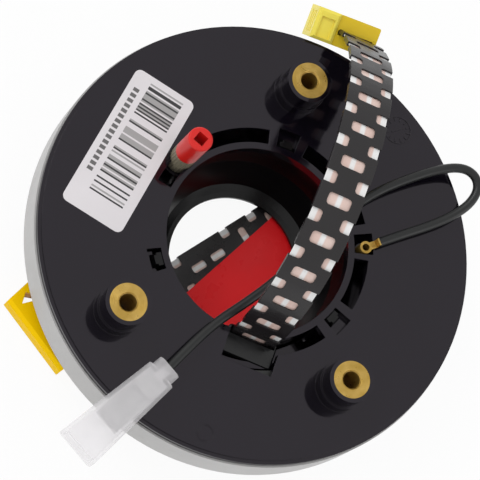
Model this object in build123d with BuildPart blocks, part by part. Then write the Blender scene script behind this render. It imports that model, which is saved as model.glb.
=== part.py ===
from build123d import *
import os
from math import atan2, cos, degrees, hypot, pi, radians, sin, tan

# Steering clock spring, in millimetres. The turning axis is Z, face up. The origin is on the
# axis at the end face of the back neck, on which the part rests.

# Driving dimensions of the two casings
disc_radius = 54.0
disc_top = 24.0
disc_thickness = 2.0
rim_step_width = 0.9
rim_step_drop = 0.4
casing_wall = 1.8
casing_overhang = 0.4
casing_lower_edge = 11.8
casing_bevel = 1.6
casing_gap = 0.2
rib_drop = 1.6
collar_wall = 1.4
collar_height = 2.2
floor_thickness = 2.0
floor_top = 11.0
neck_inner_radius = 32.0
neck_wall = 2.4
running_gap = 0.3
fit_gap = 0.1

# Hub opening, sleeve and funnel
ring_inner_radius = 22.9
ring_outer_radius = 24.5
ring_depth = 3.0
slot_outer_radius = 28.1
window_outer_radius = 29.3
skirt_inner_radius = 29.4
skirt_wall = 1.5
trough_floor_top = 14.2
trough_floor_thickness = 1.2
tube_wall = 1.3
funnel_edge_radius = 23.6
funnel_edge_height = 11.5
funnel_foot_radius = 19.4
funnel_foot_height = 5.5
bore_radius = 16.3
bore_edge_height = 3.2
bore_edge_thickness = 0.8
flange_thickness = 1.6
flange_radius = 31.5

# Openings round the hub ring, as start and end angles in degrees
slot_angles = [(98.7, 168.0), (28.2, 77.8), (342.0, 369.4), (293.0, 321.4)]
window_angles = [(82.9, 94.0), (12.6, 23.2), (326.8, 337.2)]
blind_window_angles = (204.0, 216.0)
hook_angles = [88.5, 332.0, 210.0]

# Snap hooks, and the ledges on the disc that they catch
hook_half_angle = 3.5
ledge_half_angle = 5.5
ledge_thickness = 1.6
hook_gap = 0.25
hook_arm_thickness = 1.2
hook_barb_reach = 2.35
hook_root_height = 4.0

# Lip under the disc, and marks moulded on its face
lip_depth = 2.6
lip_thickness = 1.1
lip_gap = 0.5
dial_inset = 6.1
dial_angle = 55.7
dial_radius = 3.6
gate_inset = 4.7
gate_angle = 269.4
gate_radius = 2.1
mark_line = 0.3
mark_height = 0.15

# Threaded bosses for the wheel hub
boss_gap = 2.95
boss_angles = [90.0, 225.0, 315.0]
boss_height = 8.8
boss_radius = 5.5
boss_collar_radius = 5.95
boss_collar_height = 3.4
insert_radius = 4.5
insert_length = 10.0
thread_radius = 2.1

# Lock pin
pin_circle_radius = 26.85
pin_angle = 150.0
pin_radius = 3.0
pin_height = 14.6
pin_head_length = 10.2
pin_socket = 2.6
pin_socket_depth = 4.6
pin_socket_turn = 67.0
pin_rib_count = 24
pin_stem_radius = 1.7
pin_press_travel = 5.2
pin_lift_travel = 1.5
guide_wall = 0.8
lug_width = 1.6
lug_height = 1.8
lug_reach = 30.9
lug_clearance = 0.2
notch_half_angle = 5.0
notch_depth = 1.2
guide_half_angle = 11.0
peg_length = 1.8

# Flat coil and its slip films
coil_inner_radius = 33.4
coil_turns = 8
coil_play = 3.2
tape_thickness = 0.5
tape_width = 9.0
film_thickness = 0.25

# Airbag lead: the plane that it bends in, and its guard
lead_turn = -4.0
lead_offset = 7.0
lead_width = 10.4
lead_thickness = 0.3
lead_start = -22.3
guard_width = 11.0
guard_thickness = 1.2
guard_hollow = 0.6
guard_pitch = 9.4
guard_slot = (2.9, 5.8)
guard_notch = (3.0, 3.0)
guard_corner = 0.8
guard_start = 0.9
guard_end_gap = 3.0
guard_edge = 2.9

# Terminal block at the foot of the airbag lead
block_centre = (lead_offset, -24.6)
block_size = (12.8, 7.4)
block_sink = 2.5
block_mouth_depth = 2.6
block_opening_margin = 2.0

# Airbag plug
plug_slot_centre = (10.0, 57.5, 26.5)
plug_lean = 64.3
plug_depth = 9.5
plug_above_slot = 4.4
plug_below_slot = 3.5
plug_main_width = 10.7
plug_cover_width = 5.9
plug_wall = 1.0
plug_slot_width = 9.2
plug_slot_height = 1.2
plug_slot_depth = 2.8
plug_mouth_bottom = 4.2
plug_cover_step = 1.0
plug_trim = (2.0, 9.0, 7.6)

# Horn wire, its brass eyelet and its clear connector
wire_radius = 1.15
eyelet_centre = (26.2, 7.5)
eyelet_radius = 1.5
eyelet_bore = 0.9
pillar_wall = 0.3
tab_width = 1.8
tab_thickness = 0.4
connector_end = (-14.0, -38.6)
connector_turn = 237.8
connector_length = 29.0
connector_neck_width = 6.3
connector_mouth_width = 10.5
connector_height = 6.0
connector_wall = 0.8
connector_neck_length = 3.0
connector_flare = 1.6
terminal_start = 4.6
terminal_thickness = 0.8
barrel_size = (4.6, 3.0)
barrel_length = 4.4
terminal_neck = (2.4, 2.0)
tongue_size = (6.4, 9.0)

# Column lead, outlet block, seal tape and column plug
column_turn = 50.0
column_offset = 3.3
column_lead_width = 9.2
column_guard_width = 9.8
column_lead_height = 1.4
column_pitch = 8.45
column_slot = (2.0, 5.6)
column_notch = (2.5, 2.3)
column_hole = (4.0, 2.0)
column_hole_pitch = 5.9
column_plate_middle = -4.3
outlet_gap = 2.2
outlet_depth = 10.4
outlet_width = 15.0
cable_hold = 4.0
tape_turn = 58.6
tape_length = 44.0
tape_strip_width = 15.8
tape_strip_thickness = 0.15
column_plug_turn = 234.0
column_plug_gap = 1.4
column_plug_depth = 17.0
column_plug_height = 4.5
column_plug_body = (-0.6, 25.2)
column_plug_shoulder = 3.3
column_plug_setback = 2.8
column_plug_arm = (20.0, 8.6)
column_plug_bottom = 0.3
column_plug_wall = 1.2
column_plug_mouth = (7.0, 13.6)
column_plug_mouth_depth = 3.2
arm_opening = [(2.4, 21.6), (4.8, 23.3), (6.9, 21.2), (6.3, 20.1)]
contact_length = 2.4
contact_pitch = 2.54
contact_side = 0.64

# Label
label_thickness = 0.12
label_size = (16.4, 38.7)
label_gap = 0.1
label_angle = 164.0
label_turn = -13.5

# Heights and radii that follow from the sizes above
plate_bottom = disc_top - disc_thickness
wall_radius = disc_radius + casing_overhang
wall_inner_radius = wall_radius - casing_wall
wall_top = plate_bottom - casing_gap
floor_bottom = floor_top - floor_thickness
skirt_radius = skirt_inner_radius + skirt_wall
skirt_bottom = floor_top + running_gap
tube_radius = funnel_edge_radius + tube_wall
flange_top = floor_bottom - 0.4
collar_inner_radius = skirt_radius + running_gap
pin_top = disc_top + pin_height
hook_arm_inner = ring_outer_radius + hook_gap
hook_arm_outer = hook_arm_inner + hook_arm_thickness
ledge_radius = hook_arm_outer + 0.35
neck_radius = neck_inner_radius + neck_wall
boss_circle_radius = skirt_radius + boss_gap + boss_collar_radius
coil_pitch = (wall_inner_radius - coil_inner_radius - coil_play) / coil_turns
outlet_front = neck_radius + outlet_gap
column_plug_rear = neck_radius + column_plug_gap
column_plug_reach = column_plug_rear + column_plug_depth


def polar(radius, angle):
    """Point at a radius and an angle in degrees."""
    return (radius * cos(radians(angle)), radius * sin(radians(angle)))


def ring(outer, inner, mode=Mode.ADD):
    """Plain ring about the axis in the current sketch."""
    with BuildSketch(Plane.XY, mode=Mode.PRIVATE) as shape:
        Circle(outer)
        Circle(inner, mode=Mode.SUBTRACT)
    add(shape.sketch, mode=mode)


def sector(outer, inner, start, end, mode=Mode.ADD):
    """Part of a ring between two angles in the current sketch."""
    with BuildLine(Plane.XY, mode=Mode.PRIVATE) as edge:
        CenterArc((0, 0), outer, start, end - start)
        CenterArc((0, 0), inner, start, end - start)
        Line(polar(inner, start), polar(outer, start))
        Line(polar(inner, end), polar(outer, end))
    make_face(edge.edges(), mode=mode)


def bend_radii(points, share=0.45):
    """Radius of each bend of a route: the largest that its two runs allow."""
    radii = []
    for before, corner, after in zip(points, points[1:], points[2:]):
        arriving = Vector(*corner) - Vector(*before)
        leaving = Vector(*after) - Vector(*corner)
        half_turn = radians(arriving.get_angle(leaving)) / 2
        radii.append(share * min(arriving.length, leaving.length) / tan(half_turn))
    return radii


def finish(shape, label):
    """Name a finished piece and write it."""
    shape.part.label = label
    export_step(shape.part, f"parts/{label}.step")


os.makedirs("parts", exist_ok=True)

# Rotor disc: plate, hub ring and bars, skirt, trough floor, bosses and pin guide
pin_x, pin_y = polar(pin_circle_radius, pin_angle)
guide_top = plate_bottom - 1.0
eyelet_bottom = plate_bottom - 0.6
lead_plane = Plane(origin=(0, 0, 0), x_dir=(-sin(radians(lead_turn)), cos(radians(lead_turn)), 0),
                   z_dir=(cos(radians(lead_turn)), sin(radians(lead_turn)), 0))
lead_ground = Plane(origin=(0, 0, 0), x_dir=lead_plane.z_dir, z_dir=(0, 0, 1))
block_bottom = trough_floor_top
block_top = disc_top - block_sink

with BuildPart() as rotor_disc:
    with BuildSketch(Plane.XY.offset(plate_bottom)):
        Circle(disc_radius)
        Circle(ring_inner_radius, mode=Mode.SUBTRACT)
        for start, end in slot_angles:
            sector(slot_outer_radius, ring_outer_radius, start, end, mode=Mode.SUBTRACT)
        for start, end in window_angles:
            sector(window_outer_radius, ring_outer_radius, start, end, mode=Mode.SUBTRACT)
        sector(slot_outer_radius, ring_outer_radius, *blind_window_angles, mode=Mode.SUBTRACT)
    extrude(amount=disc_thickness)
    with BuildSketch(Plane.XY.offset(disc_top)):
        ring(disc_radius, disc_radius - rim_step_width)
    extrude(amount=-rim_step_drop, mode=Mode.SUBTRACT)
    # Hub ring below the plate
    with BuildSketch(Plane.XY.offset(disc_top - ring_depth)):
        ring(ring_outer_radius, ring_inner_radius)
    extrude(amount=ring_depth - disc_thickness / 2)
    # Skirt and trough floor
    with BuildSketch(Plane.XY.offset(skirt_bottom)):
        ring(skirt_radius, skirt_inner_radius)
    extrude(amount=plate_bottom - skirt_bottom)
    with BuildSketch(Plane.XY.offset(trough_floor_top - trough_floor_thickness)):
        ring(skirt_inner_radius + skirt_wall / 2, tube_radius + running_gap)
    extrude(amount=trough_floor_thickness)
    # Lip that runs inside the casing wall
    with BuildSketch(Plane.XY.offset(plate_bottom - lip_depth)):
        ring(wall_inner_radius - lip_gap, wall_inner_radius - lip_gap - lip_thickness)
    extrude(amount=lip_depth)
    # Ledges that the hooks catch
    with BuildSketch(Plane.XY.offset(plate_bottom + 0.2 - ledge_thickness)):
        for angle in hook_angles:
            sector(skirt_inner_radius + skirt_wall / 2, ledge_radius,
                   angle - ledge_half_angle, angle + ledge_half_angle)
    extrude(amount=ledge_thickness)
    # Bosses
    for angle in boss_angles:
        x, y = polar(boss_circle_radius, angle)
        with BuildSketch(Plane.XY.offset(plate_bottom)):
            with Locations((x, y)):
                Circle(boss_collar_radius)
        extrude(amount=disc_thickness + boss_collar_height)
        with BuildSketch(Plane.XY.offset(disc_top)):
            with Locations((x, y)):
                Circle(boss_radius)
        extrude(amount=boss_height)
        with BuildSketch(Plane.XY.offset(disc_top + boss_height)):
            with Locations((x, y)):
                Circle(insert_radius)
        extrude(amount=-insert_length, mode=Mode.SUBTRACT)
    # Guide of the lock pin
    with BuildSketch(Plane.XY.offset(trough_floor_top - trough_floor_thickness)):
        with Locations((pin_x, pin_y)):
            Circle(pin_radius + fit_gap + guide_wall)
    extrude(amount=guide_top - trough_floor_top + trough_floor_thickness)
    with BuildSketch(Plane.XY.offset(trough_floor_top)):
        with Locations((pin_x, pin_y)):
            Circle(pin_radius + fit_gap)
    extrude(amount=disc_top - trough_floor_top, mode=Mode.SUBTRACT)
    with BuildSketch(Plane.XY.offset(trough_floor_top - trough_floor_thickness)):
        with Locations((pin_x, pin_y)):
            Circle(pin_stem_radius + fit_gap)
    extrude(amount=trough_floor_thickness, mode=Mode.SUBTRACT)
    # Pillar under the horn eyelet
    with BuildSketch(Plane.XY.offset(trough_floor_top)):
        with Locations(eyelet_centre):
            Circle(eyelet_radius + pillar_wall)
            Circle(eyelet_bore, mode=Mode.SUBTRACT)
    extrude(amount=eyelet_bottom - trough_floor_top)
    # Pocket of the terminal block
    with BuildSketch(lead_ground.offset(block_bottom)):
        with Locations(block_centre):
            Rectangle(block_size[0] + 2 * fit_gap, block_size[1] + 2 * fit_gap)
    extrude(amount=disc_top - block_bottom + 1, mode=Mode.SUBTRACT)
    # Wider opening in the plate round the lead's foot
    with BuildSketch(lead_ground.offset(plate_bottom)):
        with Locations((block_centre[0], block_centre[1] - block_opening_margin / 2)):
            Rectangle(block_size[0] + 2 * fit_gap, block_size[1] + block_opening_margin + 2 * fit_gap)
    extrude(amount=disc_thickness, mode=Mode.SUBTRACT)
    # Moulded date dial and gate mark
    with BuildSketch(Plane.XY.offset(disc_top)):
        with Locations(polar(disc_radius - dial_inset, dial_angle)):
            Circle(dial_radius)
            Circle(dial_radius - mark_line, mode=Mode.SUBTRACT)
            with PolarLocations(dial_radius - 3 * mark_line, 12):
                Rectangle(3 * mark_line, mark_line)
            Rectangle(dial_radius - mark_line, mark_line, rotation=35)
        with Locations(polar(disc_radius - gate_inset, gate_angle)):
            Circle(gate_radius)
            Circle(gate_radius - mark_line, mode=Mode.SUBTRACT)
    extrude(amount=mark_height)
finish(rotor_disc, "rotor_disc")

# Retaining sleeve: tube, funnel, flange under the stator floor and three snap hooks
tube_top = disc_top - ring_depth - running_gap
hook_foot = funnel_edge_height + hook_root_height
barb_bottom = plate_bottom + 0.5
with BuildPart() as retaining_sleeve:
    with BuildSketch(Plane.XZ):
        with BuildLine():
            Polyline(
                (ring_inner_radius + 0.3, tube_top),
                (funnel_edge_radius, funnel_edge_height),
                (funnel_foot_radius, funnel_foot_height),
                (bore_radius + 1.2, bore_edge_height + bore_edge_thickness + 0.5),
                (bore_radius, bore_edge_height + bore_edge_thickness),
                (bore_radius, bore_edge_height),
                (bore_radius + 1.4, bore_edge_height),
                (funnel_foot_radius + 1.0, funnel_foot_height - 1.4),
                (tube_radius - 1.2, flange_top - flange_thickness),
                (flange_radius, flange_top - flange_thickness),
                (flange_radius, flange_top),
                (tube_radius, flange_top),
                (tube_radius, funnel_edge_height),
                (ring_outer_radius, tube_top),
                close=True,
            )
        make_face()
    revolve(axis=Axis.Z)
    # Root, arm and barb of each hook
    with BuildSketch(Plane.XY.offset(hook_foot)):
        for angle in hook_angles:
            sector(hook_arm_outer, ring_outer_radius - 0.3, angle - hook_half_angle, angle + hook_half_angle)
    extrude(amount=tube_top - hook_foot - 2)
    with BuildSketch(Plane.XY.offset(hook_foot)):
        for angle in hook_angles:
            sector(hook_arm_outer, hook_arm_inner, angle - hook_half_angle, angle + hook_half_angle)
    extrude(amount=disc_top - hook_foot)
    with BuildSketch(Plane.XY.offset(barb_bottom)):
        for angle in hook_angles:
            sector(hook_arm_inner + hook_barb_reach, hook_arm_inner,
                   angle - hook_half_angle, angle + hook_half_angle)
    extrude(amount=disc_top - barb_bottom, taper=20)
    # Room for the pin guide, the pin and its lug, and for the terminal block
    with BuildSketch(Plane.XY.offset(funnel_edge_height + 0.7)):
        sector(tube_radius + 2, ring_inner_radius - 2,
               pin_angle - guide_half_angle, pin_angle + guide_half_angle)
    extrude(amount=disc_top - funnel_edge_height, mode=Mode.SUBTRACT)
    with BuildSketch(lead_ground.offset(block_bottom - running_gap)):
        with Locations(block_centre):
            Rectangle(block_size[0] + 2 * running_gap, block_size[1] + 2 * running_gap)
    extrude(amount=disc_top - block_bottom, mode=Mode.SUBTRACT)
    with BuildSketch(Plane.XY.offset(flange_top - flange_thickness)):
        sector(flange_radius + 1, tube_radius,
               pin_angle - guide_half_angle / 2, pin_angle + guide_half_angle / 2)
    extrude(amount=flange_thickness, mode=Mode.SUBTRACT)
finish(retaining_sleeve, "retaining_sleeve")

# Terminal block of the airbag lead, with a slot for the lead's end
lead_route = [
    (lead_start, 18.5), (-21.9, 27.5), (-19.6, 36.5), (-15.0, 45.6), (-8.3, 53.3), (1.0, 57.8),
    (11.0, 59.5), (21.0, 58.5), (30.6, 55.3), (39.0, 50.2), (46.6, 43.4), (51.8, 36.6),
    (56.4, 30.0), (59.2, 24.2),
]
with BuildPart() as rotor_terminal_block:
    with BuildSketch(lead_ground.offset(block_bottom)):
        with Locations(block_centre):
            RectangleRounded(*block_size, 0.8)
    extrude(amount=block_top - block_bottom)
    chamfer(rotor_terminal_block.faces().sort_by(Axis.Z)[-1].edges(), 0.4)
    with BuildSketch(lead_ground.offset(block_top)):
        with Locations((lead_offset, lead_start)):
            Rectangle(guard_width + 0.6, guard_thickness + 0.6)
    extrude(amount=-block_mouth_depth, mode=Mode.SUBTRACT)
    with BuildSketch(lead_ground.offset(block_top)):
        with Locations((lead_offset, lead_start)):
            Rectangle(lead_width + 0.2, lead_thickness + 0.6)
    extrude(amount=-(block_top - lead_route[0][1]), mode=Mode.SUBTRACT)
finish(rotor_terminal_block, "rotor_terminal_block")

# Brass inserts in the three bosses
for number, angle in enumerate(boss_angles, start=1):
    x, y = polar(boss_circle_radius, angle)
    with BuildPart() as threaded_insert:
        with BuildSketch(Plane.XY.offset(disc_top + boss_height - insert_length)):
            with Locations((x, y)):
                Circle(insert_radius)
                Circle(thread_radius, mode=Mode.SUBTRACT)
        extrude(amount=insert_length)
        top_edges = threaded_insert.edges().group_by(Axis.Z)[-1]
        chamfer(top_edges.sort_by(SortBy.RADIUS)[0], 0.35)
    finish(threaded_insert, f"threaded_insert_{number}")

# Brass eyelet of the horn wire: collar, tab and the plate that the wire is joined to
wire_route = [
    (28.7, 9.3, 25.5), (33.8, 13.2, 25.5), (39.6, 17.4, 25.7), (44.4, 21.4, 26.4),
    (48.2, 25.8, 27.4), (49.5, 30.0, 28.2), (48.1, 33.2, 28.6), (44.4, 34.3, 28.7),
    (39.0, 32.2, 28.2), (31.6, 27.0, 27.2), (24.0, 20.4, 26.5), (17.5, 11.8, 26.1),
    (12.3, 2.0, 25.9), (7.0, -7.6, 25.9), (0.9, -16.0, 26.1), (-5.4, -23.6, 26.5),
    (-10.0, -31.2, 27.1), (-14.0, -38.6, 27.6),
]
wire_heading = degrees(atan2(wire_route[1][1] - wire_route[0][1], wire_route[1][0] - wire_route[0][0]))
tab_plane = Plane(origin=(wire_route[0][0], wire_route[0][1], 0),
                  x_dir=(cos(radians(wire_heading)), sin(radians(wire_heading)), 0), z_dir=(0, 0, 1))
tab_reach = hypot(wire_route[0][0] - eyelet_centre[0], wire_route[0][1] - eyelet_centre[1])
with BuildPart() as horn_eyelet:
    with BuildSketch(Plane.XY.offset(eyelet_bottom)):
        with Locations(eyelet_centre):
            Circle(eyelet_radius)
            Circle(eyelet_bore, mode=Mode.SUBTRACT)
    extrude(amount=disc_top + 0.5 - eyelet_bottom)
    with BuildSketch(tab_plane.offset(disc_top + 0.1)):
        with Locations((-(tab_reach - eyelet_bore) / 2, 0)):
            Rectangle(tab_reach - eyelet_bore - 0.3, tab_width)
    extrude(amount=tab_thickness)
    with BuildSketch(tab_plane.offset(disc_top + 0.1)):
        with Locations((-tab_thickness / 2, 0)):
            Rectangle(tab_thickness, tab_width)
    extrude(amount=wire_route[0][2] + wire_radius - disc_top - 0.1)
finish(horn_eyelet, "horn_eyelet")

# Slip films above and below the coil
coil_room_top = plate_bottom - film_thickness
with BuildPart() as upper_slip_film:
    with BuildSketch(Plane.XY.offset(coil_room_top)):
        ring(wall_inner_radius - 2.0, skirt_radius + 0.4)
    extrude(amount=film_thickness)
finish(upper_slip_film, "upper_slip_film")

with BuildPart() as lower_slip_film:
    with BuildSketch(Plane.XY.offset(floor_top)):
        ring(wall_inner_radius - 0.6, collar_inner_radius + 1.6)
    extrude(amount=film_thickness)
finish(lower_slip_film, "lower_slip_film")

# Stator casing: wall, floor with the pin's notch, collar round the skirt and neck
with BuildPart() as stator_casing:
    with BuildSketch(Plane.XZ):
        with BuildLine():
            Polyline(
                (skirt_radius - skirt_wall / 2, floor_bottom),
                (neck_inner_radius, floor_bottom),
                (neck_inner_radius, 0),
                (neck_radius, 0),
                (neck_radius, floor_bottom),
                (wall_radius - casing_bevel, floor_bottom),
                (wall_radius, casing_lower_edge),
                (wall_radius, wall_top),
                (wall_inner_radius, wall_top),
                (wall_inner_radius, floor_top),
                (collar_inner_radius + collar_wall, floor_top),
                (collar_inner_radius + collar_wall, floor_top + collar_height),
                (collar_inner_radius, floor_top + collar_height),
                (collar_inner_radius, floor_top),
                (skirt_radius - skirt_wall / 2, floor_top),
                close=True,
            )
        make_face()
    revolve(axis=Axis.Z)
    # Ribs from the neck to the wall on the back
    with BuildSketch(Plane.XY.offset(floor_bottom)):
        for angle in range(0, 360, 30):
            if angle not in (60, 210, 240):
                sector(wall_radius - 3, neck_inner_radius + neck_wall / 2, angle - 1, angle + 1)
    extrude(amount=-rib_drop)
    # Gates in the neck for the column lead
    column_ground = Plane(origin=(0, 0, 0), x_dir=polar(1, column_turn) + (0,), z_dir=(0, 0, 1))
    with BuildSketch(column_ground):
        with Locations((0, column_offset)):
            Rectangle(2 * (neck_radius + 1), column_guard_width + 2)
    extrude(amount=column_lead_height + guard_thickness + 1, mode=Mode.SUBTRACT)
    # Notch over the pin's lug
    with BuildSketch(Plane.XY.offset(floor_bottom)):
        sector(neck_inner_radius, skirt_radius - skirt_wall,
               pin_angle - notch_half_angle, pin_angle + notch_half_angle)
    extrude(amount=notch_depth, mode=Mode.SUBTRACT)
finish(stator_casing, "stator_casing")

# Flat coil: half-circle bends whose radius grows by half a pitch each time
coil_bottom = floor_top + film_thickness
with BuildPart() as coil_tape:
    with BuildSketch(Plane.XY.offset(coil_bottom)):
        with BuildLine():
            for half in range(2 * coil_turns):
                side = 1 if half % 2 == 0 else -1
                bend = coil_inner_radius + (half + 0.5) * coil_pitch / 2
                centre = -side * coil_pitch / 4
                CenterArc((centre, 0), bend, 0 if side == 1 else 180, 180)
        trace(line_width=tape_thickness)
    extrude(amount=tape_width)
finish(coil_tape, "coil_tape")

# Lock pin: head and stem on one axis
head_bottom = pin_top - pin_head_length
shoulder = trough_floor_top + pin_press_travel + running_gap
lug_top = floor_bottom - pin_lift_travel - lug_clearance
with BuildPart() as pin_head:
    with BuildSketch(Plane.XY.offset(head_bottom)):
        with Locations((pin_x, pin_y)):
            Circle(pin_radius)
    extrude(amount=pin_head_length)
    chamfer(pin_head.faces().sort_by(Axis.Z)[-1].edges(), 0.3)
    with BuildSketch(Plane(origin=(pin_x, pin_y, pin_top), x_dir=polar(1, pin_socket_turn) + (0,))):
        Rectangle(pin_socket, pin_socket)
    extrude(amount=-pin_socket_depth, mode=Mode.SUBTRACT)
    with BuildSketch(Plane.XY.offset(head_bottom)):
        with Locations((pin_x, pin_y)):
            Circle(pin_radius / 2 + fit_gap / 2)
    extrude(amount=peg_length + 0.2, mode=Mode.SUBTRACT)
    # Small notch at the foot of the head
    notch_x, notch_y = polar(pin_radius, pin_angle + 190)
    with BuildSketch(Plane.XY.offset(head_bottom)):
        with Locations((pin_x + notch_x, pin_y + notch_y)):
            Rectangle(1.6, 1.0, rotation=pin_angle + 100)
    extrude(amount=1.2, mode=Mode.SUBTRACT)
finish(pin_head, "lock_pin_head")

with BuildPart() as pin_stem:
    with BuildSketch(Plane.XY.offset(shoulder)):
        with Locations((pin_x, pin_y)):
            Circle(pin_radius - 0.15)
            with PolarLocations(pin_radius - 0.15, pin_rib_count):
                Circle(0.15)
    extrude(amount=head_bottom - shoulder)
    with BuildSketch(Plane.XY.offset(lug_top - lug_height)):
        with Locations((pin_x, pin_y)):
            Circle(pin_stem_radius)
    extrude(amount=shoulder - lug_top + lug_height)
    with BuildSketch(Plane.XY.offset(head_bottom)):
        with Locations((pin_x, pin_y)):
            Circle(pin_radius / 2)
    extrude(amount=peg_length)
    with BuildSketch(Plane(origin=(0, 0, lug_top - lug_height), x_dir=polar(1, pin_angle) + (0,))):
        with Locations(((pin_circle_radius + lug_reach) / 2, 0)):
            Rectangle(lug_reach - pin_circle_radius, lug_width)
    extrude(amount=lug_height)
finish(pin_stem, "lock_pin_stem")

# Airbag lead: flat cable and perforated guard, both bent about parallel lines
lead_radii = bend_radii(lead_route)
print("airbag lead bends", [round(r, 1) for r in lead_radii])
lead_face = Plane(origin=lead_plane.z_dir * lead_offset, x_dir=lead_plane.x_dir, z_dir=lead_plane.z_dir)
with BuildLine(lead_face) as lead_path:
    FilletPolyline(*lead_route, radius=lead_radii)
lead_wire = lead_path.wire()
print("airbag lead length", round(lead_wire.length, 1))

with BuildPart() as airbag_lead_cable:
    with BuildSketch(lead_face):
        with BuildLine():
            FilletPolyline(*lead_route, radius=lead_radii)
        trace(line_width=lead_thickness)
    extrude(amount=lead_width / 2, both=True)
    # The end is trimmed to the width of the plug's slot
    trimmed = lead_offset + lead_width / 2 - plug_trim[0] + 0.2
    with BuildSketch(lead_plane.offset(trimmed)):
        with Locations(lead_route[-1]):
            Rectangle(plug_trim[1], plug_trim[2])
    extrude(amount=plug_trim[0], mode=Mode.SUBTRACT)
finish(airbag_lead_cable, "airbag_lead_cable")


def guard_place(length):
    """Plane on the middle of the guard at a length along it, with X along it."""
    along = lead_wire.tangent_at(length, position_mode=PositionMode.LENGTH)
    spot = lead_wire.position_at(length, PositionMode.LENGTH)
    return Plane(origin=spot, x_dir=along, z_dir=along.cross(lead_plane.z_dir))


guard_end = lead_wire.length - guard_end_gap
hole_count = int((guard_end - guard_start - guard_edge) / guard_pitch)
first_slot = guard_start + guard_edge
with BuildPart() as airbag_lead_guard:
    with BuildSketch(lead_face):
        with BuildLine():
            FilletPolyline(*lead_route, radius=lead_radii)
        trace(line_width=guard_thickness)
    extrude(amount=guard_width / 2, both=True)
    with BuildSketch(lead_face):
        with BuildLine():
            FilletPolyline(*lead_route, radius=lead_radii)
        trace(line_width=guard_hollow)
    extrude(amount=lead_width / 2 + fit_gap, both=True, mode=Mode.SUBTRACT)
    # Square ends short of the block and the plug
    for place, beyond in ((guard_start, -1), (guard_end, 1)):
        along = lead_wire.tangent_at(place, position_mode=PositionMode.LENGTH) * beyond
        with BuildSketch(Plane(origin=lead_wire.position_at(place, PositionMode.LENGTH), z_dir=along)):
            Rectangle(2 * guard_width, guard_width)
        extrude(amount=guard_width / 2, mode=Mode.SUBTRACT)
    # Slots along the middle and notches at both edges, half a pitch apart
    with BuildSketch(*[guard_place(first_slot + step * guard_pitch) for step in range(hole_count + 1)]):
        RectangleRounded(*guard_slot, guard_corner)
    extrude(amount=1.0, both=True, mode=Mode.SUBTRACT)
    with BuildSketch(*[guard_place(first_slot + (step + 0.5) * guard_pitch) for step in range(hole_count)]):
        with Locations((0, guard_width / 2), (0, -guard_width / 2)):
            RectangleRounded(guard_notch[0], 2 * guard_notch[1], guard_corner)
    extrude(amount=1.0, both=True, mode=Mode.SUBTRACT)
finish(airbag_lead_guard, "airbag_lead_guard")

# Airbag plug: housing with the cable slot, side cover with a recessed panel, contacts
plug_normal = (0, -sin(radians(90 - plug_lean)), cos(radians(90 - plug_lean)))
plug_face = Plane(origin=plug_slot_centre, x_dir=(1, 0, 0), z_dir=plug_normal)
plug_axis = Axis(plug_slot_centre, plug_normal)
plug_rise = (plug_above_slot - plug_below_slot) / 2
plug_height = plug_above_slot + plug_below_slot
plug_right = plug_main_width / 2 + 0.15
with BuildPart() as airbag_plug_housing:
    with BuildSketch(plug_face):
        with Locations((plug_right - plug_main_width / 2, plug_rise)):
            Rectangle(plug_main_width, plug_height)
    extrude(amount=-plug_depth)
    fillet(airbag_plug_housing.edges().filter_by(plug_axis), 0.5)
    with BuildSketch(plug_face):
        Rectangle(plug_slot_width, plug_slot_height)
    extrude(amount=-plug_slot_depth, mode=Mode.SUBTRACT)
    # Mating mouth at the far end
    with BuildSketch(plug_face.offset(-plug_depth)):
        with Locations((plug_right - plug_main_width / 2, plug_rise)):
            RectangleRounded(plug_main_width - 2 * plug_wall, plug_height - 2 * plug_wall, 0.6)
    extrude(amount=plug_depth - plug_mouth_bottom, mode=Mode.SUBTRACT)
finish(airbag_plug_housing, "airbag_plug_housing")

cover_centre = plug_right - plug_main_width - plug_cover_width / 2
with BuildPart() as airbag_plug_cover:
    with BuildSketch(plug_face.offset(plug_cover_step)):
        with Locations((cover_centre, plug_rise)):
            Rectangle(plug_cover_width, plug_height)
    extrude(amount=-plug_depth)
    rear_edges = airbag_plug_cover.faces().sort_by(plug_axis)[-1].edges()
    chamfer(rear_edges, 0.7)
    with BuildSketch(plug_face.offset(plug_cover_step)):
        with Locations((cover_centre, plug_rise - 0.6)):
            Rectangle(plug_cover_width - 2.4, plug_height - 2.8)
    extrude(amount=-0.6, mode=Mode.SUBTRACT)
    # Finger grooves on the outer side
    for depth in (2.4, 4.2, 6.0):
        with BuildSketch(plug_face.offset(plug_cover_step - depth)):
            with Locations((cover_centre - plug_cover_width / 2, plug_rise)):
                Rectangle(0.7, plug_height - 2.4)
        extrude(amount=-0.8, mode=Mode.SUBTRACT)
finish(airbag_plug_cover, "airbag_plug_cover")

with BuildPart() as airbag_plug_contacts:
    with BuildSketch(plug_face.offset(-plug_mouth_bottom)):
        with Locations((plug_right - plug_main_width / 2, plug_rise)):
            with GridLocations(2.5, 1, 2, 1):
                Rectangle(0.8, 2.4)
    extrude(amount=plug_mouth_bottom + 1 - plug_depth)
finish(airbag_plug_contacts, "airbag_plug_contacts")

# Horn wire and its clear connector
wire_radii = bend_radii(wire_route)
print("horn wire bends", [round(r, 1) for r in wire_radii])
with BuildPart() as horn_wire:
    with BuildLine() as wire_path:
        FilletPolyline(*wire_route, radius=wire_radii)
    with BuildSketch(Plane(origin=wire_path.line @ 0, z_dir=wire_path.line % 0)):
        Circle(wire_radius)
    sweep()
print("horn wire length", round(wire_path.wire().length, 1))
print("horn wire volume ratio",
      round(horn_wire.part.volume / (pi * wire_radius**2 * wire_path.wire().length), 4))
finish(horn_wire, "horn_wire")

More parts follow.
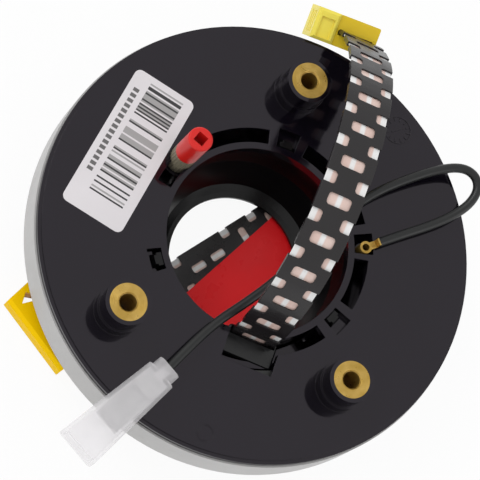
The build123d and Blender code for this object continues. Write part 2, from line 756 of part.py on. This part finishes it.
connector_base = Plane(
    origin=(*connector_end, wire_route[-1][2]),
    x_dir=(-sin(radians(connector_turn)), cos(radians(connector_turn)), 0),
    z_dir=polar(1, connector_turn) + (0,),
)
with BuildPart() as horn_connector_cover:
    with BuildSketch(connector_base):
        RectangleRounded(connector_neck_width, connector_height - 1.2, 1.2)
    extrude(amount=connector_neck_length)
    with BuildSketch(connector_base.offset(connector_neck_length)):
        RectangleRounded(connector_neck_width + connector_flare, connector_height, 1.2)
    with BuildSketch(connector_base.offset(connector_length)):
        RectangleRounded(connector_mouth_width, connector_height, 1.2)
    loft()
    # Hollow: the wire's bore, then the room of the terminal, open at the far end
    with BuildSketch(connector_base):
        Circle(wire_radius + fit_gap)
    extrude(amount=connector_neck_length + 1, mode=Mode.SUBTRACT)
    with BuildSketch(connector_base.offset(connector_neck_length + connector_wall)):
        RectangleRounded(connector_neck_width + connector_flare - 2 * connector_wall,
                         connector_height - 2 * connector_wall, 0.6)
    with BuildSketch(connector_base.offset(connector_length)):
        RectangleRounded(connector_mouth_width - 2 * connector_wall,
                         connector_height - 2 * connector_wall, 0.6)
    loft(mode=Mode.SUBTRACT)
finish(horn_connector_cover, "horn_connector_cover")

# Receptacle inside the connector: crimp barrel, neck and rolled tongue
with BuildPart() as horn_terminal:
    with BuildSketch(connector_base.offset(terminal_start)):
        Rectangle(*barrel_size)
    extrude(amount=barrel_length)
    with BuildSketch(connector_base.offset(terminal_start + barrel_length)):
        Rectangle(terminal_neck[0], terminal_thickness)
    extrude(amount=terminal_neck[1])
    with BuildSketch(connector_base.offset(terminal_start + barrel_length + terminal_neck[1])):
        Rectangle(tongue_size[0], terminal_thickness)
        with Locations((2.6, 0.6), (-2.6, 0.6)):
            Rectangle(1.2, 1.6)
    extrude(amount=tongue_size[1])
finish(horn_terminal, "horn_terminal")

# Column lead across the neck, under the bore, from the outlet block to the column plug
column_face = Plane(origin=(0, 0, column_lead_height), x_dir=polar(1, column_turn) + (0,),
                    z_dir=(0, 0, 1))
lead_from = -column_plug_rear - cable_hold
lead_to = outlet_front + cable_hold
with BuildPart() as column_lead_cable:
    with BuildSketch(column_face.offset(-lead_thickness / 2)):
        with Locations(((lead_from + lead_to) / 2, column_offset)):
            Rectangle(lead_to - lead_from, column_lead_width)
    extrude(amount=lead_thickness)
finish(column_lead_cable, "column_lead_cable")

column_guard_from = -column_plug_rear + 0.6
column_guard_to = outlet_front - 0.3
with BuildPart() as column_lead_guard:
    with BuildSketch(column_face.offset(-guard_thickness / 2)):
        with Locations(((column_guard_from + column_guard_to) / 2, column_offset)):
            Rectangle(column_guard_to - column_guard_from, column_guard_width)
    extrude(amount=guard_thickness)
    with BuildSketch(column_face.offset(-guard_hollow / 2)):
        with Locations(((column_guard_from + column_guard_to) / 2, column_offset)):
            Rectangle(column_guard_to - column_guard_from + 2, column_lead_width + 2 * fit_gap)
    extrude(amount=guard_hollow, mode=Mode.SUBTRACT)
    # Slots across, notches at both edges, and a longer plate with two oblong holes
    with BuildSketch(column_face.offset(guard_thickness)):
        for step in range(8):
            for side in (-1, 1):
                reach = column_plate_middle + side * (step + 1.8) * column_pitch / 2
                if column_guard_from + column_slot[0] < reach < column_guard_to - column_slot[0]:
                    if step % 2 == 1:
                        with Locations((reach, column_offset)):
                            RectangleRounded(*column_slot, 0.6)
                    else:
                        with Locations((reach, column_offset + column_guard_width / 2),
                                       (reach, column_offset - column_guard_width / 2)):
                            RectangleRounded(column_notch[0], 2 * column_notch[1], 0.6)
        with Locations((column_plate_middle, column_offset)):
            with GridLocations(column_hole_pitch, 1, 2, 1):
                RectangleRounded(*column_hole, 0.6)
    extrude(amount=-2 * guard_thickness, mode=Mode.SUBTRACT)
finish(column_lead_guard, "column_lead_guard")

with BuildPart() as outlet_block:
    with BuildSketch(column_ground.offset(0.3)):
        with Locations((outlet_front + outlet_depth / 2, column_offset)):
            RectangleRounded(outlet_depth, outlet_width, 1.0)
    extrude(amount=floor_bottom - 0.3)
    with BuildSketch(Plane(origin=column_ground.x_dir * outlet_front + Vector(0, 0, column_lead_height),
                           x_dir=column_ground.y_dir, z_dir=column_ground.x_dir)):
        with Locations((column_offset, 0)):
            Rectangle(column_lead_width + 0.2, lead_thickness + 0.2)
    extrude(amount=cable_hold, mode=Mode.SUBTRACT)
finish(outlet_block, "outlet_block")

# Seal tape that holds the column lead for transport
tape_height = column_lead_height + guard_thickness / 2
tape_frame = Plane(origin=(-0.7, 2.0, tape_height), x_dir=polar(1, tape_turn) + (0,), z_dir=(0, 0, 1))
with BuildPart() as seal_tape:
    with BuildSketch(tape_frame):
        with Locations((0, -tape_strip_width / 2)):
            Rectangle(tape_length, tape_strip_width)
    extrude(amount=tape_strip_thickness)
finish(seal_tape, "seal_tape")

# Column plug: housing, key arm and contacts
plug_ground = Plane(origin=(0, 0, 0), x_dir=polar(1, column_plug_turn) + (0,), z_dir=(0, 0, 1))
mouth_length, mouth_width = column_plug_mouth
mouth_centre = (column_plug_reach - column_plug_setback - column_plug_wall - mouth_length / 2,
                -column_plug_shoulder - column_plug_wall - mouth_width / 2)
with BuildPart() as column_plug_housing:
    with BuildSketch(plug_ground.offset(column_plug_bottom)):
        with BuildLine():
            Polyline(
                (column_plug_rear, -column_plug_body[0]),
                (column_plug_reach - column_plug_setback, -column_plug_body[0]),
                (column_plug_reach - column_plug_setback, -column_plug_shoulder),
                (column_plug_reach, -column_plug_shoulder),
                (column_plug_reach, -column_plug_body[1] + 1),
                (column_plug_reach - column_plug_arm[1], -column_plug_body[1]),
                (column_plug_reach - column_plug_arm[1], -column_plug_arm[0]),
                (column_plug_rear, -column_plug_arm[0]),
                close=True,
            )
        make_face()
    extrude(amount=column_plug_height)
    outer_edge = column_plug_housing.edges().group_by(Axis.Z)[-1].sort_by(Axis((0, 0, 0), plug_ground.x_dir))[-1]
    chamfer(outer_edge, 0.9)
    # Opening between the body and its key arm
    with BuildSketch(plug_ground.offset(column_plug_bottom)):
        with BuildLine():
            Polyline(*[(column_plug_reach - back, -across) for back, across in arm_opening], close=True)
        make_face()
    extrude(amount=column_plug_height, mode=Mode.SUBTRACT)
    # Room for the mating plug, open below
    with BuildSketch(plug_ground.offset(column_plug_bottom)):
        with Locations(mouth_centre):
            RectangleRounded(*column_plug_mouth, 0.8)
    extrude(amount=column_plug_mouth_depth, mode=Mode.SUBTRACT)
    # Slot of the flat cable
    with BuildSketch(column_face.offset(-lead_thickness)):
        with Locations((lead_from + cable_hold, column_offset)):
            Rectangle(2 * cable_hold, column_lead_width + 2 * fit_gap)
    extrude(amount=2 * lead_thickness, mode=Mode.SUBTRACT)
finish(column_plug_housing, "column_plug_housing")

with BuildPart() as column_plug_contacts:
    with BuildSketch(plug_ground.offset(column_plug_bottom + column_plug_mouth_depth)):
        with Locations(mouth_centre):
            with GridLocations(1, contact_pitch, 1, 5):
                Rectangle(contact_side, contact_side)
    extrude(amount=-contact_length)
finish(column_plug_contacts, "column_plug_contacts")

# Label on the disc
with BuildPart() as label:
    with BuildSketch(Plane.XY.offset(disc_top)):
        with Locations(polar(window_outer_radius + label_gap + label_size[0] / 2, label_angle)):
            RectangleRounded(*label_size, 1.6, rotation=label_turn)
    extrude(amount=label_thickness)
finish(label, "label")
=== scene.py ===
import bmesh
import bpy
from math import cos, radians, sin
from mathutils import Matrix, Vector


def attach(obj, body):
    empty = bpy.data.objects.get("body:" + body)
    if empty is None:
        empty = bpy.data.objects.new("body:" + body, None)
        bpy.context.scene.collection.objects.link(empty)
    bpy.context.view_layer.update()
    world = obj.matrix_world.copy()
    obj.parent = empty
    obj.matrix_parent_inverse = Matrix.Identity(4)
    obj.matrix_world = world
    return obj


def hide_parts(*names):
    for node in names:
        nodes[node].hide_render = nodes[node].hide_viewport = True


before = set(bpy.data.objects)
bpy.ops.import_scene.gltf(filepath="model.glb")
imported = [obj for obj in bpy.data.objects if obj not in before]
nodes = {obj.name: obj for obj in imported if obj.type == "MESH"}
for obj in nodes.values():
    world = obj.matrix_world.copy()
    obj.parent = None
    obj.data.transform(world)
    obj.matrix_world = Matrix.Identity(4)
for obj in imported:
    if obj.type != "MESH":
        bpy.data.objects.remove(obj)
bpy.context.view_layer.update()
MM = 0.001


# Materials

class Shader:
    """A node material under construction, in object coordinates (metres)."""

    def __init__(self, name):
        self.mat = bpy.data.materials.new(name)
        self.mat.use_nodes = True
        self.tree = self.mat.node_tree
        self.bsdf = next(n for n in self.tree.nodes if n.type == "BSDF_PRINCIPLED")
        self.out = next(n for n in self.tree.nodes if n.type == "OUTPUT_MATERIAL")
        self.coords = self.tree.nodes.new("ShaderNodeTexCoord")

    def node(self, kind, **values):
        made = self.tree.nodes.new("ShaderNode" + kind)
        for key, value in values.items():
            setattr(made, key, value)
        return made

    def link(self, source, target):
        self.tree.links.new(source, target)

    def put(self, socket, value):
        """Links an output or writes a constant."""
        if isinstance(value, bpy.types.NodeSocket):
            self.link(value, socket)
        else:
            socket.default_value = value

    def math(self, operation, a, b=0.0, clamp=False):
        made = self.node("Math", operation=operation, use_clamp=clamp)
        self.put(made.inputs[0], a)
        self.put(made.inputs[1], b)
        return made.outputs[0]

    def noise(self, scale, detail=3.0, coords="Object"):
        made = self.node("TexNoise")
        self.link(self.coords.outputs[coords], made.inputs["Vector"])
        made.inputs["Scale"].default_value = scale
        made.inputs["Detail"].default_value = detail
        return made.outputs["Fac"]

    def spread(self, value, low, high):
        """Maps 0.3..0.7 of a noise to low..high."""
        made = self.node("MapRange")
        self.put(made.inputs["Value"], value)
        made.inputs["From Min"].default_value = 0.3
        made.inputs["From Max"].default_value = 0.7
        made.inputs["To Min"].default_value = low
        made.inputs["To Max"].default_value = high
        return made.outputs["Result"]

    def mix(self, fac, a, b):
        made = self.node("Mix", data_type="RGBA")
        self.put(made.inputs["Factor"], fac)
        for socket, value in ((made.inputs[6], a), (made.inputs[7], b)):
            self.put(socket, value if isinstance(value, bpy.types.NodeSocket) else (*value[:3], 1.0))
        return made.outputs[2]

    def bump(self, height, distance, strength=1.0, edge=0.0):
        """Grain in the surface, with edges that look rounded by a small radius."""
        made = self.node("Bump")
        made.inputs["Strength"].default_value = strength
        made.inputs["Distance"].default_value = distance
        self.link(height, made.inputs["Height"])
        if edge:
            rounded = self.node("Bevel", samples=4)
            rounded.inputs["Radius"].default_value = edge
            self.link(rounded.outputs["Normal"], made.inputs["Normal"])
        self.link(made.outputs["Normal"], self.bsdf.inputs["Normal"])

    def set(self, **values):
        for key, value in values.items():
            self.put(self.bsdf.inputs[key.replace("_", " ")], value)


def moulded(name, colour, rough, grain=0.00003, gloss=0.5, spread=0.12, scale=900.0, under=0.0, edge=0.00015,
            uneven=0.06, tint=(1.0, 1.0, 1.0)):
    """Moulded plastic: a little mottling, fine grain and uneven gloss."""
    s = Shader(name)
    tone = s.spread(s.noise(60.0), 0.0, 1.0)
    darker = [c * (1 - spread) for c in colour]
    lighter = [min(1.0, c * (1 + spread)) for c in colour]
    s.set(Base_Color=s.mix(tone, darker, lighter),
          Roughness=s.spread(s.noise(240.0), rough - uneven, rough + uneven))
    s.bump(s.noise(scale, 4.0), grain, edge=edge)
    s.bsdf.inputs["Specular IOR Level"].default_value = gloss
    s.bsdf.inputs["Specular Tint"].default_value = (*tint, 1.0)
    if under:
        s.bsdf.inputs["Subsurface Weight"].default_value = under
        s.bsdf.inputs["Subsurface Radius"].default_value = (0.002, 0.0016, 0.0008)
        s.bsdf.inputs["Subsurface Scale"].default_value = 1.0
    return s


def brass():
    """Turned brass: rings of the lathe about each insert's own axis, pale and a little tarnished."""
    s = Shader("turned_brass")
    place = s.node("Mapping")
    s.link(s.coords.outputs["Generated"], place.inputs["Vector"])
    place.inputs["Location"].default_value = (-0.5, -0.5, 0.0)
    split = s.node("SeparateXYZ")
    s.link(place.outputs[0], split.inputs[0])
    across = s.math("ADD", s.math("POWER", split.outputs[0], 2.0), s.math("POWER", split.outputs[1], 2.0))
    radius = s.math("SQRT", across)
    rings = s.math("SINE", s.math("MULTIPLY", radius, 150.0))
    tone = s.spread(s.noise(420.0), 0.0, 1.0)
    s.set(Base_Color=s.mix(tone, (0.48, 0.30, 0.055), (0.62, 0.41, 0.11)), Metallic=0.75,
          Roughness=s.spread(s.noise(700.0), 0.26, 0.40))
    s.bump(rings, 0.00004, 0.5)
    return s.mat


def tin(name, shade):
    """Bright plated metal, darkened by a shade below 1."""
    s = Shader(name)
    tone = s.spread(s.noise(300.0), 0.0, 1.0)
    s.set(Base_Color=s.mix(tone, (0.62 * shade, 0.62 * shade, 0.62 * shade),
                           (0.82 * shade, 0.82 * shade, 0.81 * shade)), Metallic=1.0,
          Roughness=s.spread(s.noise(500.0), 0.18, 0.34))
    s.bump(s.noise(1500.0), 0.00002)
    return s.mat


def milky(name, colour, see_through, rough, edge=None):
    """Thin clear or milky plastic, denser where it is seen edge on."""
    s = Shader(name)
    tone = s.spread(s.noise(200.0), 0.0, 1.0)
    s.set(Base_Color=s.mix(tone, [c * 0.94 for c in colour], colour),
          Roughness=s.spread(s.noise(300.0), rough, rough + 0.1))
    if edge is None:
        s.bsdf.inputs["Alpha"].default_value = see_through
    else:
        facing = s.node("LayerWeight")
        facing.inputs["Blend"].default_value = 0.3
        s.set(Alpha=s.math("MAXIMUM", see_through, s.math("MULTIPLY", facing.outputs["Facing"], edge)))
    s.bump(s.noise(600.0), 0.00003)
    return s.mat


def flat_cable(name, across_axis=None):
    """White flat cable. The copper strips show through as two pink bands, by the across attribute."""
    s = Shader(name)
    across = s.node("Attribute", attribute_name="across")
    place = across.outputs["Fac"]
    if across_axis is not None:
        dot = s.node("VectorMath", operation="DOT_PRODUCT")
        s.link(s.coords.outputs["Object"], dot.inputs[0])
        dot.inputs[1].default_value = across_axis[0]
        place = s.math("MULTIPLY", s.math("SUBTRACT", dot.outputs["Value"], across_axis[1]), across_axis[2])
    strip_place = 0.42
    strip_half = 0.34
    strip_edge = 14.0
    off = s.math("ABSOLUTE", s.math("SUBTRACT", s.math("ABSOLUTE", place), strip_place))
    band = s.math("MULTIPLY", s.math("SUBTRACT", strip_half, off), strip_edge, clamp=True)
    tone = s.spread(s.noise(180.0), 0.0, 1.0)
    white = s.mix(tone, (0.80, 0.79, 0.78), (0.88, 0.88, 0.88))
    copper = s.mix(tone, (0.70, 0.50, 0.44), (0.80, 0.62, 0.56))
    s.set(Base_Color=s.mix(band, white, copper), Roughness=s.spread(s.noise(300.0), 0.24, 0.36))
    s.bump(s.noise(700.0), 0.00003)
    return s.mat


def label_print():
    """White label with a field of plain bars and a row of small blocks, in the label's own directions."""
    s = Shader("label_print")
    origin = (-0.0355, 0.0284)
    turn = radians(-13.5)
    bar_width = 0.44
    block_pitch = 1.55
    places = []
    for axis in ((sin(turn), -cos(turn), 0), (cos(turn), sin(turn), 0)):
        dot = s.node("VectorMath", operation="DOT_PRODUCT")
        s.link(s.coords.outputs["Object"], dot.inputs[0])
        dot.inputs[1].default_value = axis
        shifted = s.math("SUBTRACT", dot.outputs["Value"], axis[0] * origin[0] + axis[1] * origin[1])
        places.append(s.math("MULTIPLY", shifted, 1000.0))
    along, across = places

    def within(value, low, high):
        return s.math("MULTIPLY", s.math("GREATER_THAN", value, low), s.math("LESS_THAN", value, high))

    cell = s.node("TexWhiteNoise", noise_dimensions="1D")
    s.link(s.math("FLOOR", s.math("DIVIDE", along, bar_width)), cell.inputs["W"])
    field = s.math("MULTIPLY", within(along, 0.0, 31.5), within(across, 0.0, 9.2))
    dark = s.math("MULTIPLY", s.math("GREATER_THAN", cell.outputs["Value"], 0.66), field)
    grey = s.math("MULTIPLY", s.math("GREATER_THAN", cell.outputs["Value"], 0.36), field)
    step = s.math("FRACT", s.math("DIVIDE", along, block_pitch))
    row = s.math("MULTIPLY", within(along, 3.1, 27.9), within(across, -3.0, -1.5))
    block = s.math("MULTIPLY", s.math("LESS_THAN", step, 0.62), row)
    tone = s.spread(s.noise(90.0), 0.0, 1.0)
    paper = s.mix(tone, (0.71, 0.68, 0.70), (0.745, 0.715, 0.735))
    print_grey = s.mix(grey, paper, (0.36, 0.35, 0.35))
    print_dark = s.mix(dark, print_grey, (0.035, 0.033, 0.035))
    s.set(Base_Color=s.mix(block, print_dark, (0.13, 0.125, 0.125)), Roughness=0.4)
    s.bump(s.noise(300.0), 0.00001)
    return s.mat


rotor_black = moulded("rotor_black", (0.0034, 0.0026, 0.0050), 0.085, grain=0.000003, uneven=0.02,
                      tint=(0.98, 0.91, 1.0)).mat
sleeve_black = moulded("sleeve_black", (0.0030, 0.0028, 0.0032), 0.2, grain=0.000003, uneven=0.03,
                       gloss=0.32).mat
block_black = moulded("block_black", (0.004, 0.004, 0.0045), 0.2, grain=0.00001).mat
guard_black = moulded("guard_black", (0.013, 0.011, 0.012), 0.28, grain=0.00001, edge=0.0003).mat
wire_black = moulded("wire_black", (0.007, 0.008, 0.008), 0.36, grain=0.00001).mat
casing_grey = moulded("casing_grey", (0.49, 0.485, 0.48), 0.42, spread=0.04, gloss=0.3).mat
red_plastic = moulded("red_plastic", (0.72, 0.018, 0.014), 0.34, spread=0.06, gloss=0.35, under=0.1).mat
sand_plastic = moulded("sand_plastic", (0.26, 0.23, 0.165), 0.45, spread=0.06, gloss=0.3).mat
lemon_plastic = moulded("lemon_plastic", (0.78, 0.56, 0.02), 0.34, spread=0.05, gloss=0.3, under=0.1).mat
pale_lemon = moulded("pale_lemon", (0.90, 0.76, 0.10), 0.34, spread=0.04, gloss=0.3, under=0.1).mat
orange_plastic = moulded("orange_plastic", (1.0, 0.62, 0.0), 0.4, spread=0.03, gloss=0.06, under=0.1).mat
tape_red = moulded("tape_red", (0.95, 0.014, 0.019), 0.3, grain=0.00006, scale=160.0, spread=0.06, gloss=0.3,
                   edge=0.0).mat
brass_mat = brass()
tin_mat = tin("tinned_bronze", 1.0)
terminal_mat = tin("terminal_grey", 0.5)
film_mat = milky("film_smoky", (0.03, 0.03, 0.03), 1.0, 0.4)
clear_mat = milky("clear_plastic", (0.95, 0.93, 0.95), 0.33, 0.10, edge=0.9)
coil_mat = flat_cable("coil_tape", ((0, 0, 1), 0.01575, 1 / 0.0045))
cable_mat = flat_cable("cable_white")
column_dir = (-sin(radians(50)), cos(radians(50)), 0)
column_mat = flat_cable("column_cable", (column_dir, 0.0033, 1 / 0.0046))
label_mat = label_print()

DRESS = {
    "rotor_disc": rotor_black, "retaining_sleeve": sleeve_black, "rotor_terminal_block": block_black,
    "threaded_insert_1": brass_mat, "threaded_insert_2": brass_mat, "threaded_insert_3": brass_mat,
    "horn_eyelet": brass_mat, "upper_slip_film": film_mat, "lower_slip_film": film_mat,
    "label": label_mat, "airbag_lead_guard": guard_black, "airbag_plug_housing": lemon_plastic,
    "airbag_plug_cover": pale_lemon, "airbag_plug_contacts": tin_mat, "horn_connector_cover": clear_mat,
    "horn_terminal": terminal_mat, "lock_pin_head": red_plastic, "lock_pin_stem": sand_plastic,
    "stator_casing": casing_grey, "coil_tape": coil_mat, "outlet_block": block_black,
    "column_lead_cable": column_mat, "column_lead_guard": guard_black, "seal_tape": tape_red,
    "column_plug_housing": orange_plastic, "column_plug_contacts": tin_mat,
}
for name, mat in DRESS.items():
    mesh = nodes[name].data
    mesh.materials.clear()
    mesh.materials.append(mat)


# Free cords

def nurbs(name, points):
    """An open NURBS curve through the given control points."""
    data = bpy.data.curves.new(name, "CURVE")
    data.dimensions = "3D"
    data.resolution_u = 12
    line = data.splines.new("NURBS")
    line.points.add(len(points) - 1)
    for point, place in zip(line.points, points):
        point.co = (*place, 1.0)
    line.order_u = 3
    line.use_endpoint_u = True
    return data


# Control points of the horn wire in millimetres, from the eyelet round the loop to the connector
WIRE_RADIUS = 1.15 * MM
WIRE_ROUTE = [
    (28.7, 9.3, 25.5), (33.8, 13.2, 25.5), (39.6, 17.4, 25.7), (44.4, 21.4, 26.4),
    (48.2, 25.8, 27.4), (49.5, 30.0, 28.2), (48.1, 33.2, 28.6), (44.4, 34.3, 28.7),
    (39.0, 32.2, 28.2), (31.6, 27.0, 27.2), (24.0, 20.4, 26.5), (17.5, 11.8, 26.1),
    (12.3, 2.0, 25.9), (7.0, -7.6, 25.9), (0.9, -16.0, 26.1), (-5.4, -23.6, 26.5),
    (-10.0, -31.2, 27.1), (-14.0, -38.6, 27.6),
]
wire_data = nurbs("horn_wire_line", [[v * MM for v in p] for p in WIRE_ROUTE])
wire_data.bevel_depth = WIRE_RADIUS
wire_data.bevel_resolution = 6
wire_data.use_fill_caps = True
wire = bpy.data.objects.new("horn_wire_line", wire_data)
bpy.context.collection.objects.link(wire)
wire_data.materials.append(wire_black)
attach(wire, "rotor")
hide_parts("horn_wire")

# Airbag lead: a route in its own upright plane, turned and set off from the axis, in millimetres
LEAD_TURN = radians(-4.0)
LEAD_OFFSET = 7.0
LEAD_ALONG = Vector((-sin(LEAD_TURN), cos(LEAD_TURN), 0))
LEAD_ACROSS = Vector((cos(LEAD_TURN), sin(LEAD_TURN), 0))
LEAD_ROUTE = [
    (-22.3, 18.5), (-21.9, 27.5), (-19.6, 36.5), (-15.0, 45.6), (-8.3, 53.3), (1.0, 57.8),
    (11.0, 59.5), (21.0, 58.5), (30.6, 55.3), (39.0, 50.2), (46.6, 43.4), (51.8, 36.6),
    (56.4, 30.0), (59.2, 24.2),
]
lead_points = [(LEAD_ACROSS * LEAD_OFFSET + LEAD_ALONG * s + Vector((0, 0, z))) * MM for s, z in LEAD_ROUTE]
line_data = nurbs("lead_line", lead_points)
line_object = bpy.data.objects.new("lead_line", line_data)
line_mesh = bpy.data.meshes.new_from_object(line_object)
lead_path = [v.co.copy() for v in line_mesh.vertices]
bpy.data.objects.remove(line_object)

WIDTH = 10.4 * MM
THICK = 0.3 * MM
TRIM_LENGTH = 4.4 * MM
TRIM_WIDTH = 1.8 * MM
CORNERS = ((1, 0), (1, 1), (-1, 1), (-1, 0))
end = lead_path[-1]
ribbon = bpy.data.meshes.new("airbag_lead_ribbon")
bm = bmesh.new()
mark = bm.verts.layers.float.new("across")
loops = []
for index, place in enumerate(lead_path):
    before = lead_path[max(index - 1, 0)]
    after = lead_path[min(index + 1, len(lead_path) - 1)]
    out = (after - before).cross(LEAD_ACROSS).normalized() * THICK / 2
    low = -WIDTH / 2
    high = WIDTH / 2 if (place - end).length > TRIM_LENGTH else WIDTH / 2 - TRIM_WIDTH
    corners = []
    for side, share in CORNERS:
        offset = low + (high - low) * share
        vert = bm.verts.new(place + LEAD_ACROSS * offset + out * side)
        vert[mark] = offset / (WIDTH / 2)
        corners.append(vert)
    loops.append(corners)
for a, b in zip(loops, loops[1:]):
    for k in range(4):
        bm.faces.new((a[k], a[(k + 1) % 4], b[(k + 1) % 4], b[k]))
bm.faces.new(loops[0])
bm.faces.new(list(reversed(loops[-1])))
bmesh.ops.recalc_face_normals(bm, faces=bm.faces)
bm.to_mesh(ribbon)
bm.free()
ribbon.materials.append(cable_mat)
lead = bpy.data.objects.new("airbag_lead_ribbon", ribbon)
bpy.context.collection.objects.link(lead)
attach(lead, "rotor")
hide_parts("airbag_lead_cable")


# Floor, light and camera

SEEN_WHITE = 0.93


def floor_material():
    """White floor: mostly even white where the camera sees it, so that a soft shadow stays."""
    mat = bpy.data.materials.new("floor_white")
    mat.use_nodes = True
    tree = mat.node_tree
    tree.nodes.clear()
    out = tree.nodes.new("ShaderNodeOutputMaterial")
    diffuse = tree.nodes.new("ShaderNodeBsdfDiffuse")
    diffuse.inputs["Color"].default_value = (0.9, 0.9, 0.9, 1)
    glow = tree.nodes.new("ShaderNodeEmission")
    glow.inputs["Color"].default_value = (1, 1, 1, 1)
    glow.inputs["Strength"].default_value = 1.0
    ray = tree.nodes.new("ShaderNodeLightPath")
    shown = tree.nodes.new("ShaderNodeMath")
    shown.operation = "MAXIMUM"
    tree.links.new(ray.outputs["Is Camera Ray"], shown.inputs[0])
    tree.links.new(ray.outputs["Is Glossy Ray"], shown.inputs[1])
    share = tree.nodes.new("ShaderNodeMath")
    share.operation = "MULTIPLY"
    share.inputs[1].default_value = SEEN_WHITE
    tree.links.new(shown.outputs[0], share.inputs[0])
    mix = tree.nodes.new("ShaderNodeMixShader")
    tree.links.new(share.outputs[0], mix.inputs[0])
    tree.links.new(diffuse.outputs[0], mix.inputs[1])
    tree.links.new(glow.outputs[0], mix.inputs[2])
    tree.links.new(mix.outputs[0], out.inputs["Surface"])
    return mat


floor_mesh = bpy.data.meshes.new("floor")
FLOOR_HALF = 4.0
FLOOR_LEVEL = -0.0004
floor_points = [(x * FLOOR_HALF, y * FLOOR_HALF, FLOOR_LEVEL) for x, y in ((-1, -1), (1, -1), (1, 1), (-1, 1))]
floor_mesh.from_pydata(floor_points, [], [(0, 1, 2, 3)])
floor_mesh.materials.append(floor_material())
floor = bpy.data.objects.new("floor", floor_mesh)
bpy.context.collection.objects.link(floor)


def lamp(name, place, size, power):
    """A square soft light that looks at the object's middle."""
    data = bpy.data.lights.new(name, "AREA")
    data.shape = "SQUARE"
    data.size = size
    data.energy = power
    light = bpy.data.objects.new(name, data)
    light.location = place
    light.rotation_euler = (Vector((0, 0, 0.02)) - Vector(place)).to_track_quat("-Z", "Y").to_euler()
    bpy.context.collection.objects.link(light)


lamp("key_light", (-0.60, 0.35, 0.80), 0.5, 2.6)
lamp("left_light", (-0.7, -0.4, 0.35), 0.5, 0.35)
lamp("right_light", (0.75, -0.35, 0.40), 0.5, 0.7)

world = bpy.data.worlds.new("studio")
bpy.context.scene.world = world
world.use_nodes = True
back = world.node_tree.nodes["Background"]
ray = world.node_tree.nodes.new("ShaderNodeLightPath")
power = world.node_tree.nodes.new("ShaderNodeMapRange")
power.inputs["To Min"].default_value = 0.78
power.inputs["To Max"].default_value = 1.0
world.node_tree.links.new(ray.outputs["Is Camera Ray"], power.inputs["Value"])
world.node_tree.links.new(power.outputs[0], back.inputs["Strength"])
back.inputs["Color"].default_value = (1, 1, 1, 1)

camera_data = bpy.data.cameras.new("camera")
camera_data.sensor_width = 36.0
FOCAL_PIXELS = 2484.1
PICTURE_PIXELS = 480
camera_data.lens = camera_data.sensor_width * FOCAL_PIXELS / PICTURE_PIXELS
camera_data.clip_end = 20
camera = bpy.data.objects.new("camera", camera_data)
camera.matrix_world = Matrix((
    (0.91759, -0.32827, -0.22421, -0.136769),
    (0.24221, 0.90889, -0.33948, -0.201919),
    (0.31522, 0.2572, 0.9135, 0.563257),
    (0, 0, 0, 1),
))
bpy.context.collection.objects.link(camera)
bpy.context.scene.camera = camera
bpy.context.scene.view_settings.view_transform = "Standard"
